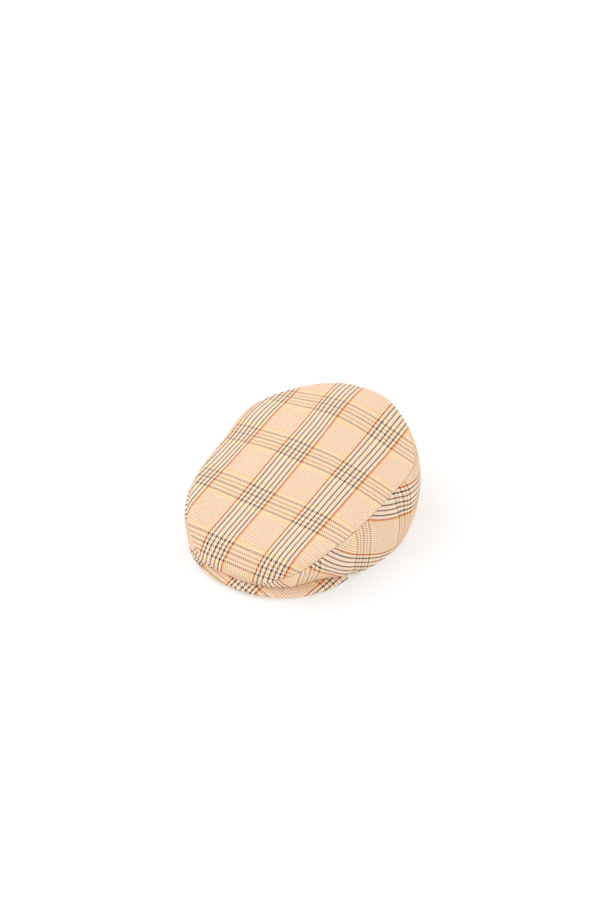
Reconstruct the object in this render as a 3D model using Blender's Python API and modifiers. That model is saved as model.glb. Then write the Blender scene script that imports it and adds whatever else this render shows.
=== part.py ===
"""A flat cap: a one-piece sloping top, two side panels, a short stiff visor, and its lining and sweatband.

It rests on its rim at z = 0. The visor points to -Y and the wearer's left is +X.
Every cloth surface is a function of an angle round the cap, measured from the front towards +X.
"""

import math

import bmesh
import bpy

# Rim and head opening
RIM_HALF_WIDTH = 0.0890
RIM_HALF_LENGTH = 0.0980
RIM_BAND_HEIGHT = 0.0050

# Shoulder line, where the crown turns over from its top into its wall
SHOULDER_INSET = 0.0020
SHOULDER_HALF_WIDTH = RIM_HALF_WIDTH - SHOULDER_INSET
SHOULDER_FRONT_REACH = 0.1420
SHOULDER_BACK_REACH = 0.0660
SHOULDER_CENTRE_Y = 0.0270
SHOULDER_FRONT_SQUARENESS = 3.2
SHOULDER_BACK_SQUARENESS = 2.0
SHOULDER_FRONT_HEIGHT = 0.0320
SHOULDER_BACK_HEIGHT = 0.0700
SHOULDER_RISE_POWER = 0.70
SHOULDER_BACK_BOW = 0.0130
FRONT_ROUNDING = 0.12
CROWN_DOME_HEIGHT = 0.0120
CROWN_DOME_POWER = 2.6
SIDE_BULGE = 0.0065

# Where the seam between top and sides leaves the shoulder and meets the front hem, in degrees from the front
SEAM_TIP_ANGLE = 2.0
SEAM_FULL_ANGLE = 50.0
SIDE_LEAST_HEIGHT = 0.0030
SEAM_TUCK = 1.6  # how far a side panel starts below the shoulder, in cloth thicknesses
RIM_BAND_SHARE = 0.2  # the most of a side panel's height that its upright band takes

# Visor
VISOR_CORNER_ANGLE = 64.0
VISOR_REACH = 0.0800
VISOR_SQUARENESS = 2.1
VISOR_TIP_SHARE = 0.90
VISOR_EDGE_HEIGHT = 0.0008
VISOR_ARCH = 0.0010
VISOR_ROOT_RISE = 0.0070
VISOR_BOARD_THICKNESS = 0.0020
VISOR_BOARD_INSET = 0.0025
HEM_SETBACK = 0.0065
HEM_SETBACK_POWER = 4.0

# Cloth and bands
CLOTH_THICKNESS = 0.0012
LINING_THICKNESS = 0.0006
LINING_INSET = 0.0050
LINING_FRONT_HEIGHT = 0.0275
LINING_BLEND_START = 35.0  # in degrees from the front, like the two below
LINING_BLEND_END = 90.0
LINING_SIDE_START = 62.0
TAPE_THICKNESS = 0.0010
TAPE_HEIGHT = 0.0100
SWEATBAND_THICKNESS = 0.0010
SWEATBAND_HEIGHT = 0.0250
LABEL_WIDTH = 0.0300
LABEL_HEIGHT = 0.0120
LABEL_THICKNESS = 0.0005

# Clearances
LAYER_GAP = 0.0004
BACK_SEAM_GAP = 0.0016
HEM_GAP = 0.0009
LINING_SEAM_DROP = 0.0016
BAND_LIFT = 0.0005

# Mesh resolution
AROUND = 72
CROWN_ROWS = 9
SIDE_ROWS = 4
SIDE_FRONT_STEPS = 10
SIDE_BACK_STEPS = 25
VISOR_AROUND = 32
VISOR_ROWS = 4
LINING_AROUND = 48
LINING_ROWS = 6
LINING_SIDE_ROWS = 3
LABEL_STEPS = 6
DOME_ROW_POWER = 0.8  # below 1, a dome's rows lie closer together towards its edge
SHARP_EDGE_ANGLE = 40.0

HEM_W = 1.15  # the crown's second coordinate at its lower edge, where the dome takes 0 to 1


def clear_scene():
    for item in list(bpy.data.objects):
        bpy.data.objects.remove(item, do_unlink=True)


def smooth_step(x):
    x = min(max(x, 0.0), 1.0)
    return x * x * (3.0 - 2.0 * x)


def mix(a, b, share):
    return tuple(p + (q - p) * share for p, q in zip(a, b))


def superellipse(angle, squareness):
    """Sine and cosine pushed out towards the corners of their square."""
    s, c = math.sin(angle), math.cos(angle)
    swell = (abs(s) ** squareness + abs(c) ** squareness) ** (-1.0 / squareness)
    return s * swell, c * swell


def rim_point(angle, inset, height):
    """A point on the oval rim, moved in from its outer face by inset."""
    x = (RIM_HALF_WIDTH - inset) * math.sin(angle)
    y = -(RIM_HALF_LENGTH - inset) * math.cos(angle)
    return (x, y, height)


def visor_point(angle, share, layer_height):
    """A point on the visor: share 0 at the rim and 1 at the outer edge, layer_height above its underside."""
    corner = math.radians(VISOR_CORNER_ANGLE)
    s, c = superellipse(max(-1.0, min(1.0, angle / corner)) * math.pi / 2, VISOR_SQUARENESS)
    forward = max(c, 0.0)
    outer_x = RIM_HALF_WIDTH * math.sin(corner) * s
    outer_y = -(RIM_HALF_LENGTH * math.cos(corner) + VISOR_REACH * forward)
    inner_x, inner_y, _ = rim_point(angle, -LAYER_GAP, 0.0)
    x, y = mix((inner_x, inner_y), (outer_x, outer_y), share)
    underside = VISOR_EDGE_HEIGHT + VISOR_ARCH * forward + VISOR_ROOT_RISE * forward * (1.0 - share)
    return (x, y, underside + layer_height)


def visor_thickness():
    return 2.0 * CLOTH_THICKNESS + 2.0 * LAYER_GAP + VISOR_BOARD_THICKNESS


def hem_share(angle):
    """How far out on the visor the crown's front hem lies."""
    inner = visor_point(angle, 0.0, 0.0)
    outer = visor_point(angle, 1.0, 0.0)
    width = math.dist(inner[:2], outer[:2])
    to_corner = min(abs(math.degrees(angle)) / VISOR_CORNER_ANGLE, 1.0)
    return 1.0 - HEM_SETBACK * (1.0 - to_corner ** HEM_SETBACK_POWER) / max(width, HEM_SETBACK)


def hem_drop_angle():
    """Where the lower edge leaves the visor's tip and starts down to the rim, in degrees from the front."""
    return VISOR_CORNER_ANGLE * (1.0 + VISOR_TIP_SHARE) / 2


def shoulder_height(x, y):
    """The shoulder rises from front to back, and its back is bowed up in the middle."""
    front = SHOULDER_CENTRE_Y - SHOULDER_FRONT_REACH
    back = SHOULDER_CENTRE_Y + SHOULDER_BACK_REACH
    along = min(max((y - front) / (back - front), 0.0), 1.0)
    rise = (SHOULDER_BACK_HEIGHT - SHOULDER_FRONT_HEIGHT) * along ** SHOULDER_RISE_POWER
    bow = SHOULDER_BACK_BOW * along ** 2 * (1.0 - (x / SHOULDER_HALF_WIDTH) ** 2)
    return SHOULDER_FRONT_HEIGHT + rise + bow


def shoulder_point(angle):
    """The line where the crown's dome turns over into its wall."""
    at_front = math.cos(angle) > 0.0
    s, c = superellipse(angle, SHOULDER_FRONT_SQUARENESS if at_front else SHOULDER_BACK_SQUARENESS)
    x = SHOULDER_HALF_WIDTH * s
    y = SHOULDER_CENTRE_Y - (SHOULDER_FRONT_REACH if at_front else SHOULDER_BACK_REACH) * c
    return (x, y, shoulder_height(x, y))


def lower_edge(angle):
    """The crown's lower edge: on the visor at the front, on the rim everywhere else.

    A front that leans out has the inner edge of its cloth lower than the outer, so it stands higher.
    """
    corner = math.radians(VISOR_CORNER_ANGLE)
    if abs(angle) >= corner:
        return rim_point(angle, 0.0, 0.0)
    x, y, z = visor_point(angle, hem_share(angle), visor_thickness() + HEM_GAP)
    top = shoulder_point(angle)
    lean_out = max(0.0, math.hypot(x, y) - math.hypot(top[0], top[1]))
    z += CLOTH_THICKNESS * lean_out / math.dist(top, (x, y, z))
    drop = smooth_step((corner - abs(angle)) / (corner - math.radians(hem_drop_angle())))
    return (x, y, z * drop)


def dome_point(angle, share, edge, centre):
    """A point of a dome: share 0 at its centre and 1 on its edge."""
    x, y, z = mix(centre, edge(angle), share)
    return (x, y, z + CROWN_DOME_HEIGHT * (1.0 - share ** CROWN_DOME_POWER))


def crown_centre():
    return (0.0, SHOULDER_CENTRE_Y, shoulder_height(0.0, SHOULDER_CENTRE_Y))


def sharp_crown_point(angle, w):
    """The crown with a plain crease at its shoulder: w from 0 to 1 is its dome, from 1 to HEM_W its wall."""
    if w <= 1.0:
        return dome_point(angle, w, shoulder_point, crown_centre())
    down = (w - 1.0) / (HEM_W - 1.0)
    top, low = shoulder_point(angle), lower_edge(angle)
    x, y, z = mix(top, low, down)
    swell = SIDE_BULGE * math.sin(math.pi * down) * (top[2] - low[2]) / SHOULDER_BACK_HEIGHT
    return (x + swell * math.sin(angle), y - swell * math.cos(angle), z)


def seam_rise(angle):
    """0 where the seam runs on the front hem, 1 where it runs on the shoulder."""
    return smooth_step((abs(math.degrees(angle)) - SEAM_TIP_ANGLE) / (SEAM_FULL_ANGLE - SEAM_TIP_ANGLE))


def crown_point(angle, w):
    """The outer crown, rounded over at the front, where the seam lies below the shoulder."""
    reach = min(FRONT_ROUNDING * (1.0 - seam_rise(angle)), w, HEM_W - w)
    points = [sharp_crown_point(angle, w + reach * k / 2) for k in range(-2, 3)]
    return tuple(sum(values) / len(points) for values in zip(*points))


def seam_w(angle):
    """The seam's place on the crown."""
    return 1.0 + (HEM_W - 1.0) * (1.0 - seam_rise(angle))


def side_top_w(angle):
    """Where a side panel starts. On the shoulder it passes under the thickness of the top panel."""
    height = math.dist(sharp_crown_point(angle, 1.0), sharp_crown_point(angle, HEM_W))
    drop = LAYER_GAP + SEAM_TUCK * CLOTH_THICKNESS * seam_rise(angle)
    return seam_w(angle) + drop / height * (HEM_W - 1.0)


def side_tip_angle():
    """The first whole degree from the front at which a side panel is tall enough to make."""
    for degrees in range(1, 90):
        angle = math.radians(degrees)
        height = math.dist(sharp_crown_point(angle, 1.0), sharp_crown_point(angle, HEM_W))
        if height * (HEM_W - side_top_w(angle)) / (HEM_W - 1.0) > SIDE_LEAST_HEIGHT:
            return degrees
    return 90


def side_column(angle):
    """A side panel's points at one angle, from its seam down. Its last few millimetres are upright."""
    top_w = side_top_w(angle)
    column = [crown_point(angle, top_w + (HEM_W - top_w) * k / SIDE_ROWS) for k in range(SIDE_ROWS)]
    x, y, z = lower_edge(angle)
    band = min(RIM_BAND_HEIGHT, RIM_BAND_SHARE * (column[0][2] - z))
    return column + [(x, y, z + band), (x, y, z)]


def top_edge_w(angle):
    """The top panel ends at the seam, and at the front, between the side panels' tips, at the hem."""
    if abs(math.degrees(angle)) < side_tip_angle() - 360.0 / AROUND:
        return HEM_W
    return seam_w(angle)


def lining_edge(angle):
    """The lining's own shoulder: inside the crown's at sides and back, over the sweatband at the front."""
    x, y, z = shoulder_point(angle)
    inward = 1.0 - LINING_INSET / math.hypot(x, y - SHOULDER_CENTRE_Y)
    inner = (x * inward, SHOULDER_CENTRE_Y + (y - SHOULDER_CENTRE_Y) * inward, z - LINING_INSET)
    front = rim_point(angle, CLOTH_THICKNESS + LAYER_GAP, LINING_FRONT_HEIGHT)
    blend = (abs(math.degrees(angle)) - LINING_BLEND_START) / (LINING_BLEND_END - LINING_BLEND_START)
    return mix(front, inner, smooth_step(blend))


def lining_centre():
    x, y, z = crown_centre()
    return (x, y, z - LINING_INSET)


def lining_side_rows(angle):
    """A lining side from its seam down: in behind the sweatband's top edge, then down to the tape."""
    inset = CLOTH_THICKNESS + 2 * LAYER_GAP
    seam = lining_edge(angle)
    bend = rim_point(angle, inset, SWEATBAND_HEIGHT + LINING_SEAM_DROP)
    drop = LINING_SEAM_DROP / math.dist(seam, bend)
    shares = [drop + (1.0 - drop) * k / LINING_SIDE_ROWS for k in range(LINING_SIDE_ROWS + 1)]
    rows = [mix(seam, bend, share) for share in shares]
    return rows + [rim_point(angle, inset, TAPE_HEIGHT + LINING_SEAM_DROP)]


def angles(start, end, count):
    return [math.radians(start + (end - start) * i / count) for i in range(count + 1)]


def make_material(name, colour, roughness):
    material = bpy.data.materials.new(name)
    material.use_nodes = True
    shader = material.node_tree.nodes["Principled BSDF"]
    shader.inputs["Base Color"].default_value = (*colour, 1.0)
    shader.inputs["Roughness"].default_value = roughness
    shader.inputs["Metallic"].default_value = 0.0
    material.diffuse_color = (*colour, 1.0)
    return material


def surface_object(name, rows, closed, thickness, material, collection, pole=None):
    """An open surface through rows of points, thickened inwards by Solidify.

    Each row runs round the cap from the wearer's right to the left, and the rows run from the top down.
    """
    mesh = bpy.data.meshes.new(name)
    grid = bmesh.new()
    lines = [[grid.verts.new(p) for p in row] for row in rows]
    count = len(rows[0])
    spans = count if closed else count - 1
    if pole is not None:
        tip = grid.verts.new(pole)
        for i in range(spans):
            grid.faces.new((tip, lines[0][i], lines[0][(i + 1) % count]))
    for upper, lower in zip(lines, lines[1:]):
        for i in range(spans):
            j = (i + 1) % count
            grid.faces.new((upper[i], lower[i], lower[j], upper[j]))
    grid.to_mesh(mesh)
    grid.free()
    item = bpy.data.objects.new(name, mesh)
    collection.objects.link(item)
    shell = item.modifiers.new("Thickness", "SOLIDIFY")
    shell.thickness = thickness
    shell.offset = -1.0
    shell.use_rim = True
    mesh.materials.append(material)
    mesh.shade_smooth()
    mesh.set_sharp_from_angle(angle=math.radians(SHARP_EDGE_ANGLE))
    return item


def build_crown_top(collection, material):
    round_angles = angles(-180, 180, AROUND)[:-1]
    rows = []
    for k in range(1, CROWN_ROWS + 1):
        share = (k / CROWN_ROWS) ** DOME_ROW_POWER
        rows.append([crown_point(a, top_edge_w(a) * share) for a in round_angles])
    surface_object(
        "crown_top_panel", rows, True, CLOTH_THICKNESS, material, collection, pole=crown_point(0.0, 0.0)
    )


def build_side_panels(collection, material):
    """The two side panels, which meet in a seam at the back."""
    back = 180.0 - math.degrees(BACK_SEAM_GAP / 2 / RIM_HALF_WIDTH)
    tip = side_tip_angle()
    for side, name in ((1, "side_panel_left"), (-1, "side_panel_right")):
        front_line = angles(tip, hem_drop_angle(), SIDE_FRONT_STEPS)[:-1]
        line = front_line + angles(hem_drop_angle(), back, SIDE_BACK_STEPS)
        if side < 0:
            line = [-a for a in reversed(line)]
        rows = zip(*[side_column(a) for a in line])
        surface_object(name, list(rows), False, CLOTH_THICKNESS, material, collection)


def build_visor(collection, cloth, board):
    """Three layers: an under cover, a stiff board inset from its edge, and a top cover."""
    tip = VISOR_CORNER_ANGLE * VISOR_TIP_SHARE
    board_base = CLOTH_THICKNESS + LAYER_GAP
    top_base = board_base + VISOR_BOARD_THICKNESS + LAYER_GAP
    layers = (
        ("visor_under_cover", CLOTH_THICKNESS, CLOTH_THICKNESS, 0.0, cloth),
        ("visor_board", board_base + VISOR_BOARD_THICKNESS, VISOR_BOARD_THICKNESS, VISOR_BOARD_INSET, board),
        ("visor_top_cover", top_base + CLOTH_THICKNESS, CLOTH_THICKNESS, 0.0, cloth),
    )
    for name, height, thickness, inset, material in layers:
        edge = 1.0 - inset / VISOR_REACH
        line = angles(-tip * edge, tip * edge, VISOR_AROUND)
        shares = [min(k / VISOR_ROWS, edge) for k in range(VISOR_ROWS + 1)]
        rows = [[visor_point(a, share, height) for a in line] for share in shares]
        surface_object(name, rows, False, thickness, material, collection)


def build_bands(collection, tape, band):
    """The stay tape that holds the rim to size, and the sweatband inside it."""
    tape_inset = CLOTH_THICKNESS + LAYER_GAP
    band_inset = tape_inset + TAPE_THICKNESS + LAYER_GAP + LINING_THICKNESS
    for name, inset, height, thickness, material in (
        ("rim_stay_tape", tape_inset, TAPE_HEIGHT, TAPE_THICKNESS, tape),
        ("sweatband", band_inset, SWEATBAND_HEIGHT, SWEATBAND_THICKNESS, band),
    ):
        line = angles(-180, 180, AROUND)[:-1]
        rows = [[rim_point(a, inset, z) for a in line] for z in (height, BAND_LIFT)]
        surface_object(name, rows, True, thickness, material, collection)


def build_lining(collection, material):
    """A top and two sides, cut like the crown and hung inside it."""
    line = angles(-180, 180, LINING_AROUND)[:-1]
    shares = [(k / LINING_ROWS) ** DOME_ROW_POWER for k in range(1, LINING_ROWS + 1)]
    rows = [[dome_point(a, share, lining_edge, lining_centre()) for a in line] for share in shares]
    pole = dome_point(0.0, 0.0, lining_edge, lining_centre())
    surface_object("lining_top", rows, True, LINING_THICKNESS, material, collection, pole=pole)
    back = 180.0 - math.degrees(BACK_SEAM_GAP / 2 / RIM_HALF_WIDTH)
    for side, name in ((1, "lining_side_left"), (-1, "lining_side_right")):
        side_line = angles(LINING_SIDE_START, back, LINING_AROUND // 3)
        if side < 0:
            side_line = [-a for a in reversed(side_line)]
        side_rows = zip(*[lining_side_rows(a) for a in side_line])
        surface_object(name, list(side_rows), False, LINING_THICKNESS, material, collection)


def build_label(collection, material):
    """A blank woven label, sewn flat on the inside of the sweatband at the back."""
    band_inner = (
        CLOTH_THICKNESS + 2 * LAYER_GAP + TAPE_THICKNESS + LINING_THICKNESS + SWEATBAND_THICKNESS
    )
    half = math.degrees(LABEL_WIDTH / 2 / RIM_HALF_WIDTH)
    middle = SWEATBAND_HEIGHT / 2
    line = angles(180.0 - half, 180.0 + half, LABEL_STEPS)
    rows = [
        [rim_point(a, band_inner + LAYER_GAP, z) for a in line]
        for z in (middle + LABEL_HEIGHT / 2, middle - LABEL_HEIGHT / 2)
    ]
    surface_object("size_label", rows, False, LABEL_THICKNESS, material, collection)


def main():
    clear_scene()
    collection = bpy.data.collections.new("flat_cap")
    bpy.context.scene.collection.children.link(collection)
    check_cloth = make_material("check_cloth", (0.80, 0.57, 0.42), 0.85)
    lining_cloth = make_material("lining_cloth", (0.62, 0.44, 0.30), 0.55)
    board = make_material("visor_board", (0.85, 0.83, 0.78), 0.6)
    tape = make_material("stay_tape", (0.80, 0.76, 0.68), 0.9)
    band = make_material("sweatband_cloth", (0.70, 0.52, 0.38), 0.8)
    label = make_material("label_cloth", (0.88, 0.86, 0.80), 0.7)
    build_crown_top(collection, check_cloth)
    build_side_panels(collection, check_cloth)
    build_visor(collection, check_cloth, board)
    build_bands(collection, tape, band)
    build_lining(collection, lining_cloth)
    build_label(collection, label)


main()
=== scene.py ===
import math

import bpy
import numpy as np
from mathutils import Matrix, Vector


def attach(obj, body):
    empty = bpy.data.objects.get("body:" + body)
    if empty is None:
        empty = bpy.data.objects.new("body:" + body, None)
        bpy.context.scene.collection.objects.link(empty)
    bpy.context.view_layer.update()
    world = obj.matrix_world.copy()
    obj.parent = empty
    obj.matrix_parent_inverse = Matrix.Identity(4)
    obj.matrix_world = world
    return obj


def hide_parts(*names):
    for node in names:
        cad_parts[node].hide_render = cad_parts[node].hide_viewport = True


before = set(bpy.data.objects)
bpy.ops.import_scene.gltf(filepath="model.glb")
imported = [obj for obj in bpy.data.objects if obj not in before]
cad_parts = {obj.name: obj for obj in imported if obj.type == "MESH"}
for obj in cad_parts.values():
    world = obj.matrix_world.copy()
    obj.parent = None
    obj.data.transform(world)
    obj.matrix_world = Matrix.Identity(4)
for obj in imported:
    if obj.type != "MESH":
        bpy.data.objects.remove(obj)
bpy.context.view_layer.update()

print("cap: CAD frame loaded,", len(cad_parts), "nodes")

mm = 0.001  # the sizes below are in metres, and smaller ones are written as so many mm

# the cap's form, the same values as its CAD solids have
form = {
    "rimHalfWidth": 89.0 * mm,
    "rimHalfLength": 98.0 * mm,
    "shoulderHalfWidth": 87.0 * mm,
    "shoulderFrontReach": 142.0 * mm,
    "shoulderBackReach": 66.0 * mm,
    "shoulderCentreY": 27.0 * mm,
    "frontSquareness": 3.2,
    "backSquareness": 2.0,
    "shoulderFrontHeight": 32.0 * mm,
    "shoulderBackHeight": 70.0 * mm,
    "shoulderRisePower": 0.70,
    "shoulderBackBow": 13.0 * mm,
    "frontRounding": 0.12,
    "domeHeight": 12.0 * mm,
    "domePower": 2.6,
    "sideBulge": 6.5 * mm,
    "seamTipAngle": math.radians(2.0),
    "seamFullAngle": math.radians(50.0),
    "seamLift": 0.035,  # how far the seam climbs onto the dome along the sides
    "seamLiftStart": math.radians(35.0),
    "seamLiftEnd": math.radians(120.0),
    "seamLiftRun": math.radians(25.0),
    "visorCorner": math.radians(64.0),
    "visorReach": 80.0 * mm,
    "visorSquareness": 2.1,
    "visorTipShare": 0.90,
    "visorEdgeHeight": 0.8 * mm,
    "visorArch": 1.0 * mm,
    "visorRootRise": 7.0 * mm,
    "visorThickness": 5.2 * mm,
    "hemSetback": 6.5 * mm,
    "hemSetbackPower": 4.0,
    "hemSlouch": 0.85,  # share of the setback that is lost on the wearer's right
    "hemSlouchRun": math.radians(26.0),
    "hemDip": 4.5 * mm,  # how much further back it stands on the wearer's left, and where
    "hemDipAt": math.radians(41.0),
    "hemDipReach": math.radians(10.0),
    "clothThickness": 1.2 * mm,
    "liningInset": 5.0 * mm,
    "liningFrontHeight": 27.5 * mm,
    "layerGap": 0.4 * mm,
}
hemW = 1.15  # the crown's second coordinate at its lower edge; its dome takes 0 to 1


# ---- small helpers

def linearFromHex(text):
    channels = [int(text[i:i + 2], 16) / 255 for i in (0, 2, 4)]
    return (*[c / 12.92 if c <= 0.04045 else ((c + 0.055) / 1.055) ** 2.4 for c in channels], 1.0)


def addNode(tree, kind, inputs=None, **settings):
    node = tree.nodes.new(kind)
    for name, value in settings.items():
        setattr(node, name, value)
    for key, value in (inputs or {}).items():
        if isinstance(value, bpy.types.NodeSocket):
            tree.links.new(value, node.inputs[key])
        else:
            node.inputs[key].default_value = value
    return node


def maths(tree, operation, *values):
    return addNode(tree, "ShaderNodeMath", dict(enumerate(values)), operation=operation).outputs[0]


def scaled(tree, vector, factor):
    return addNode(tree, "ShaderNodeVectorMath", {0: vector, "Scale": factor}, operation="SCALE").outputs[0]


def mixed(tree, factor, a, b, kind="RGBA"):
    node = addNode(tree, "ShaderNodeMix", {"Factor": factor, "A": a, "B": b}, data_type=kind)
    return node.outputs["Result"]


def smoothStep(x):
    x = np.clip(x, 0.0, 1.0)
    return x * x * (3.0 - 2.0 * x)


def stacked(x, y, z):
    return np.stack(np.broadcast_arrays(x, y, z), axis=-1).astype(float)


def blended(a, b, share):
    return a + (b - a) * np.asarray(share)[..., None]


def unit(v):
    return v / np.maximum(np.linalg.norm(v, axis=-1, keepdims=True), 1e-12)


# ---- the cap's surfaces, as functions of the angle round the cap, from the front towards +X

def superellipse(angle, squareness):
    s, c = np.sin(angle), np.cos(angle)
    swell = (np.abs(s) ** squareness + np.abs(c) ** squareness) ** (-1.0 / squareness)
    return s * swell, c * swell


def rimPoint(angle, inset, height):
    x = (form["rimHalfWidth"] - inset) * np.sin(angle)
    y = -(form["rimHalfLength"] - inset) * np.cos(angle)
    return stacked(x, y, height)


def visorPoint(angle, share, height):
    corner = form["visorCorner"]
    s, c = superellipse(np.clip(angle / corner, -1, 1) * math.pi / 2, form["visorSquareness"])
    forward = np.maximum(c, 0.0)
    outer = stacked(
        form["rimHalfWidth"] * math.sin(corner) * s,
        -(form["rimHalfLength"] * math.cos(corner) + form["visorReach"] * forward),
        0.0,
    )
    point = blended(rimPoint(angle, -form["layerGap"], 0.0), outer, share)
    rise = form["visorArch"] * forward + form["visorRootRise"] * forward * (1.0 - share)
    point[..., 2] = form["visorEdgeHeight"] + rise + height
    return point


def hemShare(angle):
    inner, outer = visorPoint(angle, 0.0, 0.0), visorPoint(angle, 1.0, 0.0)
    width = np.linalg.norm((inner - outer)[..., :2], axis=-1)
    back = 1.0 - np.clip(np.abs(angle) / form["visorCorner"], 0, 1) ** form["hemSetbackPower"]
    # the crown sits askew: it hangs over the visor on the wearer's right and stands back on the left
    back = back * (1.0 - form["hemSlouch"] * smoothStep(-angle / form["hemSlouchRun"]))
    setback = form["hemSetback"] * back
    setback = setback + form["hemDip"] * np.exp(-((angle - form["hemDipAt"]) / form["hemDipReach"]) ** 2)
    return 1.0 - setback / np.maximum(width, form["hemSetback"] + form["hemDip"])


def lowerEdge(angle, lift):
    corner = form["visorCorner"]
    onVisor = visorPoint(angle, hemShare(angle), form["visorThickness"] + lift)
    dropStart = corner * (1.0 + form["visorTipShare"]) / 2
    drop = smoothStep((corner - np.abs(angle)) / (corner - dropStart))
    onVisor[..., 2] = onVisor[..., 2] * drop
    return np.where((np.abs(angle) >= corner)[..., None], rimPoint(angle, 0.0, 0.0), onVisor)


def shoulderHeight(x, y):
    front = form["shoulderCentreY"] - form["shoulderFrontReach"]
    back = form["shoulderCentreY"] + form["shoulderBackReach"]
    along = np.clip((y - front) / (back - front), 0.0, 1.0)
    rise = form["shoulderBackHeight"] - form["shoulderFrontHeight"]
    bow = form["shoulderBackBow"] * along ** 2 * (1.0 - (x / form["shoulderHalfWidth"]) ** 2)
    return form["shoulderFrontHeight"] + rise * along ** form["shoulderRisePower"] + bow


def shoulderPoint(angle):
    atFront = np.cos(angle) > 0.0
    s, c = superellipse(angle, np.where(atFront, form["frontSquareness"], form["backSquareness"]))
    x = form["shoulderHalfWidth"] * s
    reach = np.where(atFront, form["shoulderFrontReach"], form["shoulderBackReach"])
    y = form["shoulderCentreY"] - reach * c
    return stacked(x, y, shoulderHeight(x, y))


def crownCentre():
    y = form["shoulderCentreY"]
    return np.array([0.0, y, shoulderHeight(0.0, y)])


def domePoint(edge, share, centre):
    point = blended(centre, edge, share)
    point[..., 2] += form["domeHeight"] * (1.0 - np.abs(share) ** form["domePower"])
    return point


def sharpCrownPoint(angle, w, hemLift):
    angle, w = np.broadcast_arrays(np.asarray(angle, float), np.asarray(w, float))
    top, low = shoulderPoint(angle), lowerEdge(angle, hemLift)
    dome = domePoint(top, np.clip(w, 0.0, 1.0), crownCentre())
    down = np.clip((w - 1.0) / (hemW - 1.0), 0.0, 1.0)
    wall = blended(top, low, down)
    swell = form["sideBulge"] * np.sin(math.pi * down)
    swell = swell * (top[..., 2] - low[..., 2]) / form["shoulderBackHeight"]
    wall[..., 0] += swell * np.sin(angle)
    wall[..., 1] -= swell * np.cos(angle)
    return np.where((w <= 1.0)[..., None], dome, wall)


def seamRise(angle):
    span = form["seamFullAngle"] - form["seamTipAngle"]
    return smoothStep((np.abs(angle) - form["seamTipAngle"]) / span)


def seamW(angle):
    up = smoothStep((np.abs(angle) - form["seamLiftStart"]) / form["seamLiftRun"])
    lift = form["seamLift"] * up * smoothStep((form["seamLiftEnd"] - np.abs(angle)) / form["seamLiftRun"])
    return 1.0 + (hemW - 1.0) * (1.0 - seamRise(angle)) - lift


softCrown = {
    "hemLift": 0.25 * mm,  # how far the front hem stays above the visor
    "shoulderRounding": 0.045,  # how far the shoulder's crease is rounded over, in the second coordinate
    # soft lumps that a worn cloth crown keeps: place, reach and height, all in mm
    "lumps": [
        ((-74.0, 20.0, 60.0), 20.0, 3.5),
        ((20.0, 90.0, 76.0), 20.0, 2.5),
        ((-45.0, 62.0, 74.0), 22.0, -1.5),
        ((60.0, 45.0, 72.0), 26.0, -2.0),
        ((-66.0, -40.0, 58.0), 20.0, -1.5),
        ((0.0, -75.0, 46.0), 30.0, 1.5),
        # a crease down the left side panel, with the cloth standing up behind it
        ((86.5, 8.5, 55.0), 7.0, -1.6),
        ((88.5, 11.0, 46.0), 7.0, -2.0),
        ((91.0, 13.5, 37.0), 7.0, -1.4),
        ((87.0, 19.0, 50.0), 9.0, 1.8),
    ],
    "waves": [  # direction (x, y, z), wavelength and height in mm, and phase
        ((1.0, 0.35, 0.2), 118.0, 0.55, 0.4),
        ((-0.4, 1.0, 0.3), 92.0, 0.50, 1.9),
        ((0.6, -0.8, 0.9), 61.0, 0.30, 4.1),
    ],
}


def crownPoint(angle, w):
    angle, w = np.broadcast_arrays(np.asarray(angle, float), np.asarray(w, float))
    rise = seamRise(angle)
    rounding = form["frontRounding"] * (1.0 - rise) + softCrown["shoulderRounding"] * rise
    reach = np.clip(np.minimum(rounding, np.minimum(w, hemW - w)), 0.0, None)
    total = sum(sharpCrownPoint(angle, w + reach * k / 3, softCrown["hemLift"]) for k in range(-3, 4))
    return total / 7


def crownNormal(angle, w):
    step = 1e-3
    w = np.clip(w, 0.01, hemW - 2 * step)
    across = crownPoint(angle + step, w) - crownPoint(angle - step, w)
    down = crownPoint(angle, w + step) - crownPoint(angle, w - step)
    return unit(np.cross(down, across))


def softened(point, normal):
    lift = np.zeros(point.shape[:-1])
    for direction, length, height, phase in softCrown["waves"]:
        along = point @ unit(np.array(direction))
        lift += height * mm * np.sin(2 * math.pi * along / (length * mm) + phase)
    for place, reach, height in softCrown["lumps"]:
        far = np.linalg.norm(point - np.array(place) * mm, axis=-1)
        lift += height * mm * np.exp(-(far / (reach * mm)) ** 2)
    low = smoothStep((point[..., 2] - 8 * mm) / (25 * mm))  # the rim and the hem keep their place
    return point + normal * (lift * low)[..., None]


# ---- meshes from grids of points

def edgeSteps(length, count, fine, atStart, atEnd):
    # distances along a line of this length, close together at an edge that is rolled over
    fine = [d * min(1.0, length / (6.0 * fine[-1])) for d in fine]
    start = fine if atStart else [0.0]
    end = [length - d for d in reversed(fine)] if atEnd else [length]
    inner = np.linspace(start[-1], end[0], count + 1)[1:-1]
    return np.array([*start, *inner, *end])


def rolledEdge(distance, radius):
    # how far the cloth turns in towards its edge, as a quarter of a round fold
    short = np.clip((radius - distance) / radius, 0.0, 1.0)
    return radius * (1.0 - np.sqrt(1.0 - short ** 2))


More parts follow.
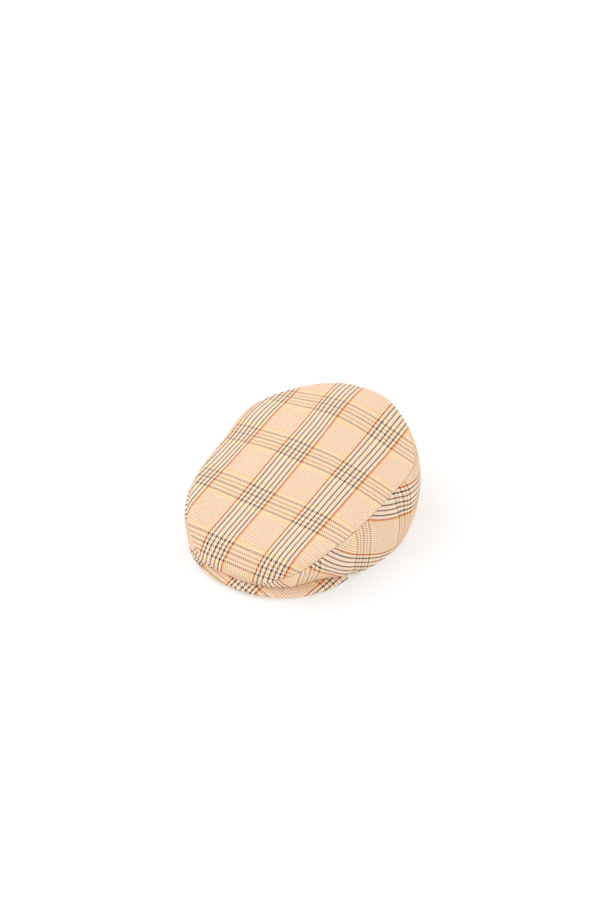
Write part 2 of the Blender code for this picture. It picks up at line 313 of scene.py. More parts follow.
def makeGrid(name, rows, closed=False, pole=None):
    # rows run round the cap, and follow each other from the top down, so faces point outwards
    rows = np.asarray(rows)
    rowCount, count = rows.shape[:2]
    points = rows.reshape(-1, 3).tolist()
    spans = count if closed else count - 1
    faces = []
    if pole is not None:
        points.append(list(pole))
        faces += [(len(points) - 1, i, (i + 1) % count) for i in range(spans)]
    for k in range(rowCount - 1):
        a, b = k * count, (k + 1) * count
        faces += [(a + i, b + i, b + (i + 1) % count, a + (i + 1) % count) for i in range(spans)]
    mesh = bpy.data.meshes.new(name)
    mesh.from_pydata(points, [], faces)
    mesh.update()
    item = bpy.data.objects.new(name, mesh)
    bpy.context.scene.collection.objects.link(item)
    mesh.shade_smooth()
    return item


def thicken(item, thickness):
    shell = item.modifiers.new("Thickness", "SOLIDIFY")
    shell.thickness = thickness
    shell.offset = -1.0
    shell.use_rim = True
    shell.use_even_offset = False


def vertexPoints(mesh):
    points = np.empty(len(mesh.vertices) * 3)
    mesh.vertices.foreach_get("co", points)
    return points.reshape(-1, 3)


def flattenPanel(item, target, near, placement):
    # lays the panel out flat as its pattern piece, in metres, then turns and shifts it on the cloth
    mesh = item.data
    mesh.uv_layers.new(name="cloth")
    bpy.ops.object.select_all(action="DESELECT")
    bpy.context.view_layer.objects.active = item
    item.select_set(True)
    bpy.ops.object.mode_set(mode="EDIT")
    bpy.ops.mesh.select_all(action="SELECT")
    bpy.ops.uv.unwrap(method=placement.get("method", "ANGLE_BASED"), margin=0.0)
    bpy.ops.object.mode_set(mode="OBJECT")
    item.select_set(False)
    loops = np.empty(len(mesh.loops), int)
    mesh.loops.foreach_get("vertex_index", loops)
    flat = np.empty(len(mesh.loops) * 2)
    mesh.uv_layers["cloth"].uv.foreach_get("vector", flat)
    perVertex = np.zeros((len(mesh.vertices), 2))
    perVertex[loops] = flat.reshape(-1, 2)
    points = vertexPoints(mesh)
    # the scale that keeps the cloth's area, then the best turn onto the target plane
    near = np.asarray(near)
    a = perVertex[near] - perVertex[near].mean(0)
    b = target[near] - target[near].mean(0)
    edges = np.empty(len(mesh.edges) * 2, int)
    mesh.edges.foreach_get("vertices", edges)
    edges = edges.reshape(-1, 2)
    isNear = np.zeros(len(points), bool)
    isNear[near] = True
    used = edges[isNear[edges].all(1)]
    real = np.linalg.norm(points[used[:, 0]] - points[used[:, 1]], axis=1).sum()
    drawn = np.linalg.norm(perVertex[used[:, 0]] - perVertex[used[:, 1]], axis=1).sum()
    scale = real / drawn
    u, _, vt = np.linalg.svd(a.T @ b)
    turn = u @ vt  # may be a mirror, which a pattern piece seen from its back needs
    centre = perVertex[near].mean(0)
    laid = (perVertex - centre) @ turn * scale + target[near].mean(0)
    angle = math.radians(placement["grain"])
    c, s = math.cos(angle), math.sin(angle)
    u, v = (laid @ np.array([[c, s], [-s, c]])).T / mm
    if "zeroAt" in placement:  # the cloth's lengths are counted from this point of the panel
        zero = np.argmin(np.linalg.norm(points - np.array(placement["zeroAt"]), axis=1))
        u, v = u - u[zero], v - v[zero]
    leaned = v + placement.get("lean", 0.0) * u
    u = u + placement.get("bow", 0.0) * (v - placement.get("bowAt", 0.0)) ** 2
    laid = (np.stack([u, leaned], axis=1) + np.array(placement["shift"])) * mm
    mesh.uv_layers["cloth"].uv.foreach_set("vector", laid[loops].ravel())
    return laid


def finish(item, node, material):
    item.data.materials.clear()
    item.data.materials.append(material)
    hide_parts(node)
    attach(item, "root")


# ---- the check cloth: cotton and linen in a warp-faced twill, about 19 threads to the centimetre.
# It gives the eye fine two-and-two lines with a bold group of stripes every 58 mm each way.

checkCloth = {
    "thread": 58.0 * mm / 108,  # spacing of the threads
    "repeat": 108,  # threads in one repeat of the check, each way
    "group": 52,  # of them in the group of stripes
    "waver": 0.5,  # how far a thread wanders, in threads
    "waverScale": 45.0,
    "slubScale": 320.0,
    "slubShade": (0.94, 1.04),  # darkest and lightest place along a thread
    "threadEdgePaintedShade": (0.86, 1.03),  # painted shade: darkest at a thread's edge and lightest along its middle
    "relief": 0.12 * mm,
    "bump": 0.35,
    "twill": (4, 0.5),  # threads in one repeat of the twill, and the share where the warp lies on top
    "warpShows": 0.3,  # how much of the close-set warp still shows where the weft lies over it
    "roughness": 0.85,
    "shine": 0.2,
    "sheen": 0.08,
    "sheenRoughness": 0.5,
    "warpFine": ("fff0d6", "eeb186"),  # light and dark threads between the groups
    "weftFine": ("fff2dc", "d9a37c"),
    # stripes of the groups: the thread each starts at, and its colour
    "warpStripes": [
        (0, "f8c84c"), (1, "cc3c10"), (4, "ffecd4"), (8, "4c1c0a"), (11, "ffecd4"), (16, "8a4a22"),
        (19, "ffecd4"), (25, "4c1c0a"), (28, "ffecd4"), (33, "8a4a22"), (36, "ffecd4"), (41, "4c1c0a"),
        (44, "ffecd4"), (48, "cc3c10"), (51, "f8c84c"),
    ],
    "weftStripes": [
        (0, "fbd878"), (3, "ffe3ba"), (8, "4e2012"), (12, "ffe3ba"), (16, "a06442"), (19, "ffe3ba"),
        (24, "4e2012"), (28, "ffe3ba"), (32, "a06442"), (35, "ffe3ba"), (40, "4e2012"), (44, "ffe3ba"),
        (49, "fbd878"),
    ],
}


def newMaterial(name):
    material = bpy.data.materials.new(name)
    material.use_nodes = True
    tree = material.node_tree
    return material, tree, tree.nodes["Principled BSDF"]


def setRamp(ramp, stops, span):
    elements = ramp.elements
    ramp.interpolation = "CONSTANT"
    while len(elements) < len(stops):
        elements.new(0.5)
    for element, (start, colour) in zip(elements, stops):
        element.position = start / span
        element.color = linearFromHex(colour)


def makeCheckCloth():
    facts = checkCloth
    material, tree, shader = newMaterial("checkWeave")
    cloth = addNode(tree, "ShaderNodeUVMap", uv_map="cloth").outputs[0]
    wander = addNode(tree, "ShaderNodeTexNoise", {"Vector": cloth, "Scale": facts["waverScale"],
                                                  "Detail": 1.0})
    wander = addNode(tree, "ShaderNodeVectorMath", {0: wander.outputs["Color"], 1: (0.5, 0.5, 0.5)},
                     operation="SUBTRACT").outputs[0]
    wander = scaled(tree, wander, facts["waver"] * facts["thread"])
    laid = addNode(tree, "ShaderNodeVectorMath", {0: cloth, 1: wander}, operation="ADD").outputs[0]
    threads = scaled(tree, laid, 1.0 / facts["thread"])
    numbers = addNode(tree, "ShaderNodeVectorMath", {0: threads}, operation="FLOOR").outputs[0]
    threads = addNode(tree, "ShaderNodeSeparateXYZ", {0: threads}).outputs
    numbers = addNode(tree, "ShaderNodeSeparateXYZ", {0: numbers}).outputs
    colours, heights = [], []
    for k, system in enumerate(("warp", "weft")):
        fromStart = 0.5 + facts["group"] / 2  # a group of stripes is centred where the map's length is zero
        number = maths(tree, "ADD", numbers[k], fromStart)
        share = maths(tree, "FRACT", maths(tree, "MULTIPLY", number, 1.0 / facts["repeat"]))
        ramp = addNode(tree, "ShaderNodeValToRGB", {0: share})
        setRamp(ramp.color_ramp, facts[system + "Stripes"], facts["repeat"])
        inGroup = maths(tree, "LESS_THAN", share, facts["group"] / facts["repeat"])
        # between the groups two threads of the one colour follow two of the other
        pair = maths(tree, "FRACT", maths(tree, "MULTIPLY", number, 0.25))
        pair = maths(tree, "LESS_THAN", pair, 0.5)
        light, dark = (linearFromHex(c) for c in facts[system + "Fine"])
        fine = mixed(tree, pair, light, dark)
        colours.append(mixed(tree, inGroup, fine, ramp.outputs[0]))
        # a thread is round across, so it stands highest along its middle
        across = maths(tree, "MULTIPLY", maths(tree, "FRACT", threads[k]), math.pi)
        heights.append(maths(tree, "SINE", across))
    both = maths(tree, "ADD", numbers[0], numbers[1])
    step, onTop = facts["twill"]
    both = maths(tree, "FRACT", maths(tree, "MULTIPLY", both, 1.0 / step))
    warpOver = maths(tree, "LESS_THAN", both, onTop)
    warpSeen = addNode(tree, "ShaderNodeMapRange", {"Value": warpOver, "To Min": facts["warpShows"]})
    woven = mixed(tree, warpSeen.outputs[0], colours[1], colours[0])
    height = mixed(tree, warpOver, heights[1], heights[0], "FLOAT")
    # linen is uneven, with thicker and paler places a few millimetres apart
    slubs = addNode(tree, "ShaderNodeTexNoise", {"Vector": cloth, "Scale": facts["slubScale"], "Detail": 2.0})
    dark, light = facts["slubShade"]
    slubs = addNode(tree, "ShaderNodeMapRange", {"Value": slubs.outputs["Fac"], "From Min": 0.3,
                                                 "From Max": 0.7, "To Min": dark, "To Max": light})
    # painted shade: each thread's colour darkens towards its edges, following its height
    dark, light = facts["threadEdgePaintedShade"]
    paintedThreadShade = addNode(tree, "ShaderNodeMapRange", {"Value": height, "To Min": dark, "To Max": light})
    # the linen's uneven tone and the painted thread shade together scale the woven colour
    toneAndPaintedShade = maths(tree, "MULTIPLY", slubs.outputs[0], paintedThreadShade.outputs[0])
    tree.links.new(scaled(tree, woven, toneAndPaintedShade), shader.inputs["Base Color"])
    bump = addNode(tree, "ShaderNodeBump", {"Height": height, "Strength": facts["bump"],
                                            "Distance": facts["relief"]})
    tree.links.new(bump.outputs[0], shader.inputs["Normal"])
    shader.inputs["Roughness"].default_value = facts["roughness"]
    shader.inputs["Specular IOR Level"].default_value = facts["shine"]
    shader.inputs["Sheen Weight"].default_value = facts["sheen"]
    shader.inputs["Sheen Roughness"].default_value = facts["sheenRoughness"]
    return material


checkWeave = makeCheckCloth()
print("cap: check cloth ready")


# ---- the one-piece top

topPanel = {
    "around": 336,
    "rows": 74,
    "fold": 0.5 * mm,  # radius of the turned edge at the seam
    "placement": {"method": "MINIMUM_STRETCH", "zeroAt": (0.0, 0.0, 73.0 * mm), "grain": 0.0,
                  "bow": 0.0006, "bowAt": 5.5, "shift": (12.0, 4.5)},
    # the middle of the panel, which is laid out true to its plan
    "fitHalfWidth": 45.0 * mm,
    "fitHalfLength": 60.0 * mm,
    "fitCentreY": -15.0 * mm,
    "flat": (0.180, 0.250),
    "area": 0.0355,
}
foldSteps = [0.0, 0.18, 0.45, 0.8, 1.25, 1.8]  # where the rows at a fold lie, in units of twice its radius


def crownColumns(angles, startW, endW, distances):
    # points at set distances down the crown from startW to endW, with the outward normals there
    samples = np.linspace(0.0, 1.0, 81)
    w = startW[:, None] + (endW - startW)[:, None] * samples[None, :]
    line = crownPoint(angles[:, None], w)
    steps = np.linalg.norm(np.diff(line, axis=1), axis=2)
    along = np.concatenate([np.zeros((len(angles), 1)), np.cumsum(steps, axis=1)], axis=1)
    chosen = [np.interp(distances(total[-1]), total, ws) for total, ws in zip(along, w)]
    lengths = along[:, -1]
    return np.array(chosen), lengths


def makeTop():
    facts = topPanel
    count = facts["around"]
    angles = np.radians(np.arange(count) * 360.0 / count - 180.0)
    hemAngle = math.radians(3.0)  # between the side panels' tips the top ends on the hem
    endW = np.where(np.abs(angles) < hemAngle, hemW, seamW(angles))
    fine = [d * 2 * facts["fold"] for d in foldSteps]
    distances = lambda length: edgeSteps(length, facts["rows"], fine, False, True)[1:]
    w, lengths = crownColumns(angles, np.zeros(count), endW, distances)
    points = crownPoint(angles[:, None], w)
    normals = crownNormal(angles[:, None], w)
    points = softened(points, normals)
    away = np.array([length - distances(length) for length in lengths])
    points -= normals * rolledEdge(away, facts["fold"])[..., None]
    pole = softened(crownPoint(0.0, 0.0), np.array([0.0, 0.0, 1.0]))
    item = makeGrid("crownTop", points.transpose(1, 0, 2), closed=True, pole=pole)
    plan = vertexPoints(item.data)[:, :2]
    nearAcross = np.abs(plan[:, 0]) < facts["fitHalfWidth"]
    near = np.flatnonzero(nearAcross & (np.abs(plan[:, 1] - facts["fitCentreY"]) < facts["fitHalfLength"]))
    laid = flattenPanel(item, plan.copy(), near, facts["placement"])
    print("cap: top panel flat size", np.ptp(laid, axis=0).round(4))
    thicken(item, form["clothThickness"])
    finish(item, "crown_top_panel", checkWeave)


makeTop()


# ---- the two side panels

sidePanel = {
    "tipAngle": math.radians(2.0),
    "rows": 26,
    "columns": 190,
    "fold": 0.5 * mm,
    "rimFold": 1.5 * mm,
    "seamGap": 0.0004,  # below the top's edge, in the crown's second coordinate
    "leastRun": 0.002,  # what the panel keeps of it at its front tip
    "backGap": 0.15 * mm,
    "backSteps": (0.15, 0.4, 0.8, 1.3, 2.0),  # where the close columns at the back seam lie, in mm
    "fitFrom": math.radians(60.0),  # the stretch of the panel that is laid straight along the rim
    "fitTo": math.radians(150.0),
    "placements": {
        "Left": {"grain": 112.0, "bow": 0.0028, "bowAt": 120.0, "lean": -0.345, "shift": (47.5, -119.0)},
        "Right": {"grain": -112.0, "bow": -0.0028, "bowAt": -160.0, "lean": 0.345, "shift": (20.0, 40.0)},
    },
    "flat": (0.085, 0.315),
    "area": 0.0165,
}


def makeSide(name, side):
    facts = sidePanel
    backGap = facts["backGap"] / form["rimHalfWidth"]
    angles = np.linspace(facts["tipAngle"], math.pi - backGap, facts["columns"])
    nearBack = math.pi - backGap - np.array(facts["backSteps"]) * mm / form["rimHalfWidth"]
    angles = np.unique(np.concatenate([angles, nearBack]))
    if side < 0:
        angles = -angles[::-1]
    fine = [d * 2 * facts["fold"] for d in foldSteps]
    distances = lambda length: edgeSteps(length, facts["rows"], fine, True, True)
    startW = np.minimum(seamW(angles) + facts["seamGap"], hemW - facts["leastRun"])
    w, lengths = crownColumns(angles, startW, np.full(len(angles), hemW), distances)
    points = crownPoint(angles[:, None], w)
    normals = crownNormal(angles[:, None], w)
    points = softened(points, normals)
    down = np.array([distances(length) for length in lengths])
    foldTop = rolledEdge(down, np.minimum(facts["fold"], lengths / 4)[:, None])
    foldLow = rolledEdge(lengths[:, None] - down, np.minimum(facts["rimFold"], lengths / 4)[:, None])
    toBack = (math.pi - backGap - np.abs(angles)) * form["rimHalfWidth"]
    foldBack = rolledEdge(toBack, facts["fold"])[:, None]
    points -= normals * (foldTop + foldLow + foldBack)[..., None]
    points[..., 2] = np.maximum(points[..., 2], 0.0)
    item = makeGrid("side" + name, points.transpose(1, 0, 2))
    # its target plane: distance along the rim, and height
    rimLine = crownPoint(angles, hemW)
    along = np.concatenate([[0.0], np.cumsum(np.linalg.norm(np.diff(rimLine, axis=0), axis=1))])
    columns = len(angles)
    index = np.arange(len(item.data.vertices)) % columns
    target = np.stack([along[index], vertexPoints(item.data)[:, 2]], axis=1)
    straight = (np.abs(angles) > facts["fitFrom"]) & (np.abs(angles) < facts["fitTo"])
    near = np.flatnonzero(straight[index])
    laid = flattenPanel(item, target, near, facts["placements"][name])
    print("cap: side panel flat size", np.ptp(laid, axis=0).round(4))
    thicken(item, form["clothThickness"])
    finish(item, "side_panel_" + name.lower(), checkWeave)


makeSide("Left", 1)
makeSide("Right", -1)


# ---- the visor: cloth over and under a board, meeting in a seam round its edge

visor = {
    "columns": 180,
    "rows": 30,
    "seamTurn": math.radians(-25.0),  # how far round the edge, from level, the two covers meet
    "seamGap": math.radians(4.0),
    "edgeRows": (12, 8),  # rows round the edge, above the seam and below it
    "edgeShare": 0.4,  # the most of the visor's width that the round of its edge takes up
    "fitHalfWidth": 60.0 * mm,
    "placements": {
        "Top": {"grain": 15.0, "shift": (-43.3, 112.0)},
        "Under": {"grain": 15.0, "shift": (-43.3, 112.0)},
    },
    "flat": (0.076, 0.182),
    "areas": {"Top": 0.0052, "Under": 0.0046},
}


def makeVisorCover(name, turns, node):
    facts = visor
    tip = form["visorCorner"] * form["visorTipShare"]
    angles = np.linspace(-tip, tip, facts["columns"])
    edge = visorPoint(angles, 1.0, 0.0)
    tangent = unit(np.gradient(edge[:, :2], axis=0))
    outward = np.stack([tangent[:, 1], -tangent[:, 0]], axis=1)
    inner = visorPoint(angles, 0.0, 0.0)
    width = np.linalg.norm((edge - inner)[:, :2], axis=1)
    radius = np.minimum(form["visorThickness"] / 2, width * facts["edgeShare"])
    height = form["visorThickness"] if turns[0] > 0 else 0.0
    rows = []
    for share in np.linspace(0.0, 1.0, facts["rows"])[:-1]:
        row = visorPoint(angles, share * (1.0 - radius / np.maximum(width, 1e-6)), height)
        rows.append(row)
    for turn in turns:
        row = edge.copy()
        row[:, :2] -= outward * (radius * (1.0 - math.cos(turn)))[:, None]
        row[:, 2] += form["visorThickness"] / 2 * (1.0 + math.sin(turn))
        rows.append(row)
    if turns[0] < 0:
        rows.reverse()
    item = makeGrid("visor" + name, np.array(rows))
    plan = vertexPoints(item.data)[:, :2]
    near = np.flatnonzero(np.abs(plan[:, 0]) < facts["fitHalfWidth"])
    laid = flattenPanel(item, plan.copy(), near, facts["placements"][name])
    print("cap: visor cover flat size", np.ptp(laid, axis=0).round(4))
    thicken(item, form["clothThickness"])
    finish(item, node, checkWeave)


seam, gap = visor["seamTurn"], visor["seamGap"]
topTurns = np.linspace(math.pi / 2, seam + gap / 2, visor["edgeRows"][0])
underTurns = np.linspace(-math.pi / 2, seam - gap / 2, visor["edgeRows"][1])
makeVisorCover("Top", topTurns, "visor_top_cover")
makeVisorCover("Under", underTurns, "visor_under_cover")
print("cap: visor ready")


# ---- plain materials for what is inside

plainWeave = {
    "noiseScale": 140.0,
    "ribShare": 0.6,  # how much of the painted shade follows the ribs, the rest being uneven tone from noise
    "shadeRange": (0.3, 1.2),
    "bump": 0.5,
}


def makeWovenMaterial(name, facts):
    # a plain weave drawn from the piece's own flat map: ribs one way, finer ones the other, with painted
    # shade in the grooves between them
    material, tree, shader = newMaterial(name)
    cloth = addNode(tree, "ShaderNodeUVMap", uv_map="cloth").outputs[0]
    axes = addNode(tree, "ShaderNodeSeparateXYZ", {0: cloth}).outputs
    waves = []
    for k, spacing in enumerate(facts["spacing"]):
        wave = maths(tree, "SINE", maths(tree, "MULTIPLY", axes[k], math.pi / spacing))
        waves.append(maths(tree, "ABSOLUTE", wave))
    height = maths(tree, "MULTIPLY", waves[0], waves[1])
    noise = addNode(tree, "ShaderNodeTexNoise", {"Vector": cloth, "Scale": plainWeave["noiseScale"],
                                                 "Detail": 3.0})
    # painted shade: the darker colour goes in the grooves and the lighter one on the ribs' tops, mixed with
    # uneven tone from noise
    toneAndPaintedShade = maths(tree, "MULTIPLY_ADD", height, plainWeave["ribShare"], noise.outputs["Fac"])
    low, high = plainWeave["shadeRange"]
    share = addNode(tree, "ShaderNodeMapRange", {"Value": toneAndPaintedShade, "From Min": low, "From Max": high})
    dark, light = (linearFromHex(c) for c in facts["colours"])
    tree.links.new(mixed(tree, share.outputs[0], dark, light), shader.inputs["Base Color"])
    bump = addNode(tree, "ShaderNodeBump", {"Height": height, "Strength": plainWeave["bump"],
                                            "Distance": facts["relief"]})
    tree.links.new(bump.outputs[0], shader.inputs["Normal"])
    shader.inputs["Roughness"].default_value = facts["roughness"]
    shader.inputs["Sheen Weight"].default_value = facts["sheen"]
    return material


# acetate lining twill: smooth, so it keeps a soft shine
liningTwill = makeWovenMaterial("liningTwill", {
    "spacing": (0.35 * mm, 0.22 * mm), "colours": ("b58a62", "d2a77c"), "relief": 0.05 * mm,
    "roughness": 0.42, "sheen": 0.1})
# ribbed cotton sweatband: upright ribs about 1 mm apart
ribbedCotton = makeWovenMaterial("ribbedCotton", {
    "spacing": (1.0 * mm, 0.3 * mm), "colours": ("b98a63", "dab28a"), "relief": 0.2 * mm,
    "roughness": 0.85, "sheen": 0.2})
# plain cotton stay tape: a flat natural weave
plainCotton = makeWovenMaterial("plainCotton", {
    "spacing": (0.5 * mm, 0.5 * mm), "colours": ("cfc4ae", "ece4d2"), "relief": 0.1 * mm,
    "roughness": 0.9, "sheen": 0.1})
# woven satin label: cream, fine and slightly glossy
labelSatin = makeWovenMaterial("labelSatin", {
    "spacing": (0.25 * mm, 0.15 * mm), "colours": ("dcd2ba", "f3ecda"), "relief": 0.04 * mm,
    "roughness": 0.4, "sheen": 0.0})


def mapFlat(item, u, v):
    mesh = item.data
    layer = mesh.uv_layers.new(name="cloth")
    loops = np.empty(len(mesh.loops), int)
    mesh.loops.foreach_get("vertex_index", loops)
    layer.uv.foreach_set("vector", np.stack([u, v], axis=1)[loops].ravel())


# ---- bands round the rim

bands = {
    "around": 300,
    "layers": [  # piece, CAD node, slot, material, inset, bottom, top, thickness
        ("stayTape", "rim_stay_tape", "stay_tape", plainCotton, 1.6 * mm, 0.9 * mm, 11.1 * mm, 1.0 * mm),
        ("sweatBand", "sweatband", "sweatband_cloth", ribbedCotton, 3.6 * mm, 1.0 * mm, 25.0 * mm, 1.0 * mm),
    ],
    "rows": 14,
    "ease": 0.35 * mm,  # how far the sweatband's top edge waves in and out
    "mostOut": 0.3 * mm,
    "easeWaves": ((11, 1.0, 0.0), (17, 0.6, 1.0)),  # waves in a turn, share of the ease, and phase
}


def makeBand(name, node, slotName, material, inset, bottom, top, thickness):
    count = bands["around"]
    angles = np.radians(np.arange(count) * 360.0 / count - 180.0)
    levels = np.linspace(top, bottom, bands["rows"])
    rows = []
    for z in levels:
        up = (z - bottom) / (top - bottom)
        waves = sum(share * np.sin(turns * angles + phase) for turns, share, phase in bands["easeWaves"])
        ease = bands["ease"] * up ** 2 * waves
        rows.append(rimPoint(angles, inset + np.maximum(ease, -bands["mostOut"]), z))
    item = makeGrid(name, np.array(rows), closed=True)
    radius = (form["rimHalfWidth"] + form["rimHalfLength"]) / 2 - inset
    index = np.arange(len(item.data.vertices))
    u = angles[index % count] * radius
    v = levels[index // count]
    mapFlat(item, u, v)
    # the last column joins the first, so its map runs on past the seam
    layer = item.data.uv_layers["cloth"]
    for face in item.data.polygons:
        us = [layer.uv[k].vector[0] for k in face.loop_indices]
        if max(us) - min(us) > radius:
            for k in face.loop_indices:
                if layer.uv[k].vector[0] < 0:
                    layer.uv[k].vector[0] += 2 * math.pi * radius
    thicken(item, thickness)
    finish(item, node, material)


for layer in bands["layers"]:
    makeBand(*layer)
print("cap: bands ready")


# ---- the lining: a top and two sides

lining = {
    "around": 180,
    "rows": 30,
    "sideRows": 20,
    "thickness": 0.6 * mm,
    "blend": (math.radians(35.0), math.radians(90.0)),
    "sideStart": math.radians(62.0),
    "bandHeight": 25.0 * mm,
    "seamDrop": 1.6 * mm,
    "lowEdge": 11.6 * mm,
    "inset": 2.0 * mm,
    "pucker": 0.5 * mm,
    "puckerPower": 6,  # how soon the top's puckers die out from its edge
    "rowPower": 0.9,  # below one, the top's rows crowd towards its edge
    "topPuckers": 34,
    "sidePuckers": 30,
    "backGap": 0.8 * mm,
    "topFlat": (0.17, 0.195),
    "topArea": 0.0265,
    "sideFlat": (0.185, 0.070),
    "sideArea": 0.0095,
}


def liningEdge(angle):
    point = shoulderPoint(angle)
    y = form["shoulderCentreY"]
    inward = 1.0 - form["liningInset"] / np.hypot(point[..., 0], point[..., 1] - y)
    inner = stacked(point[..., 0] * inward, y + (point[..., 1] - y) * inward,
                    point[..., 2] - form["liningInset"])
    front = rimPoint(angle, form["clothThickness"] + form["layerGap"], form["liningFrontHeight"])
    start, end = lining["blend"]
    return blended(front, inner, smoothStep((np.abs(angle) - start) / (end - start)))


def makeLining():
    count = lining["around"]
    angles = np.radians(np.arange(count) * 360.0 / count - 180.0)
    centre = crownCentre() - np.array([0.0, 0.0, form["liningInset"]])
    edge = liningEdge(angles)
    shares = np.linspace(0.0, 1.0, lining["rows"] + 1)[1:] ** lining["rowPower"]
    rows = [domePoint(edge, share, centre) for share in shares]
    for row, share in zip(rows, shares):
        depth = lining["pucker"] * share ** lining["puckerPower"]
        row[:, 2] -= depth * (0.5 + 0.5 * np.sin(lining["topPuckers"] * angles))
    pole = domePoint(edge[:1], 0.0, centre)[0]
    item = makeGrid("liningTop", np.array(rows), closed=True, pole=pole)
    points = vertexPoints(item.data)
    mapFlat(item, points[:, 0], points[:, 1])
    thicken(item, lining["thickness"])
    finish(item, "lining_top", liningTwill)
    back = math.pi - lining["backGap"] / form["rimHalfWidth"]
    for side, name in ((1, "Left"), (-1, "Right")):
        line = np.linspace(lining["sideStart"], back, count // 2)
        if side < 0:
            line = -line[::-1]
        seamLine = liningEdge(line)
        bend = rimPoint(line, lining["inset"], lining["bandHeight"] + lining["seamDrop"])
        low = rimPoint(line, lining["inset"], lining["lowEdge"])
        drop = lining["seamDrop"] / np.linalg.norm(seamLine - bend, axis=1)
        rows = []
        for share in np.linspace(0.0, 1.0, lining["sideRows"]):
            row = blended(seamLine, bend, drop + (1.0 - drop) * share)
            ease = lining["pucker"] * math.sin(math.pi * share)
            ease = ease * (0.5 + 0.5 * np.sin(lining["sidePuckers"] * line))
            row[:, :2] *= (1.0 - ease / np.linalg.norm(row[:, :2], axis=1))[:, None]
            rows.append(row)
        rows.append(low)
        item = makeGrid("liningSide" + name, np.array(rows))
        points = vertexPoints(item.data)
        columns = len(line)
        index = np.arange(len(points))
        mapFlat(item, line[index % columns] * form["rimHalfWidth"], points[:, 2])
        thicken(item, lining["thickness"])
        finish(item, "lining_side_" + name.lower(), liningTwill)


makeLining()
print("cap: lining ready")


# ---- a blank label inside the sweatband at the back

label = {
    "width": 30.0 * mm,
    "height": 12.0 * mm,
    "middle": 12.5 * mm,  # its height above the rim
    "thickness": 0.5 * mm,
    "inset": 5.1 * mm,
    "columns": 24,
    "rows": 9,
}


def makeLabel():
    half = label["width"] / 2 / form["rimHalfWidth"]
    line = np.linspace(math.pi - half, math.pi + half, label["columns"] + 1)
    top, bottom = label["middle"] + label["height"] / 2, label["middle"] - label["height"] / 2
    levels = np.linspace(top, bottom, label["rows"])
    rows = [rimPoint(line, label["inset"], z) for z in levels]
    item = makeGrid("blankLabel", np.array(rows))
    index = np.arange(len(item.data.vertices))
    columns = len(line)
    mapFlat(item, (line[index % columns] - math.pi) * form["rimHalfWidth"], levels[index // columns])
    thicken(item, label["thickness"])
    finish(item, "size_label", labelSatin)


makeLabel()


# ---- thread: rows of stitches along the sweatband's lower edge and round the label

stitches = {
    "length": 2.4 * mm,
    "pitch": 3.4 * mm,
    "radius": 0.22 * mm,
    "arch": 1.6,  # height of a stitch's arch, in radii of the thread
    "sides": 6,
    "bandInset": 4.7 * mm,
    "bandHeight": 3.0 * mm,
    "labelMargin": 1.0 * mm,
    "labelClearance": 0.05 * mm,
    "labelSteps": 12,  # points along each side of the label
}


def makeThreadMaterial():
    # spun polyester sewing thread: matt with a slight shine, and twisted, with its slanting ridges painted as
    # lighter and darker bands
    material, tree, shader = newMaterial("sewingThread")
    place = addNode(tree, "ShaderNodeTexCoord").outputs["Object"]
    # painted highlight and painted shade: the twist's ridges are drawn as lighter and darker slanting bands
    paintedTwistShade = addNode(tree, "ShaderNodeTexWave", {"Vector": place, "Scale": 900.0, "Distortion": 0.5},
                    bands_direction="DIAGONAL")
    colour = mixed(tree, paintedTwistShade.outputs["Fac"], linearFromHex("cba27c"), linearFromHex("e9cda9"))
    tree.links.new(colour, shader.inputs["Base Color"])
    shader.inputs["Roughness"].default_value = 0.6
    return material


def makeStitchTree():
    tree = bpy.data.node_groups.new("stitchRow", "GeometryNodeTree")
    tree.interface.new_socket("Geometry", in_out="INPUT", socket_type="NodeSocketGeometry")
    for name in ("Pitch", "Length", "Radius"):
        tree.interface.new_socket(name, in_out="INPUT", socket_type="NodeSocketFloat")
    tree.interface.new_socket("Thread", in_out="INPUT", socket_type="NodeSocketMaterial")
    tree.interface.new_socket("Geometry", in_out="OUTPUT", socket_type="NodeSocketGeometry")
    given = addNode(tree, "NodeGroupInput").outputs
    curve = addNode(tree, "GeometryNodeMeshToCurve", {0: given["Geometry"]}).outputs[0]
    dots = addNode(tree, "GeometryNodeCurveToPoints", {"Curve": curve, "Length": given["Pitch"]},
                   mode="LENGTH")
    half = maths(tree, "MULTIPLY", given["Length"], 0.5)
    less = maths(tree, "MULTIPLY", half, -1.0)
    start = addNode(tree, "ShaderNodeCombineXYZ", {"Z": less}).outputs[0]
    end = addNode(tree, "ShaderNodeCombineXYZ", {"Z": half}).outputs[0]
    rise = maths(tree, "MULTIPLY", given["Radius"], stitches["arch"])
    middle = addNode(tree, "ShaderNodeCombineXYZ", {"X": rise}).outputs[0]
    arc = addNode(tree, "GeometryNodeCurveQuadraticBezier", {"Resolution": 6, "Start": start,
                                                             "Middle": middle, "End": end}).outputs[0]
    ring = addNode(tree, "GeometryNodeCurvePrimitiveCircle", {"Resolution": stitches["sides"],
                                                              "Radius": given["Radius"]}).outputs[0]
    tube = addNode(tree, "GeometryNodeCurveToMesh", {"Curve": arc, "Profile Curve": ring, "Fill Caps": True})
    placed = addNode(tree, "GeometryNodeInstanceOnPoints", {"Points": dots.outputs["Points"],
                                                            "Instance": tube.outputs[0],
                                                            "Rotation": dots.outputs["Rotation"]}).outputs[0]
    real = addNode(tree, "GeometryNodeRealizeInstances", {0: placed}).outputs[0]
    made = addNode(tree, "GeometryNodeSetMaterial", {"Geometry": real, "Material": given["Thread"]})
    addNode(tree, "NodeGroupOutput", {0: made.outputs[0]})
    return tree


sewingThread = makeThreadMaterial()
stitchTree = makeStitchTree()


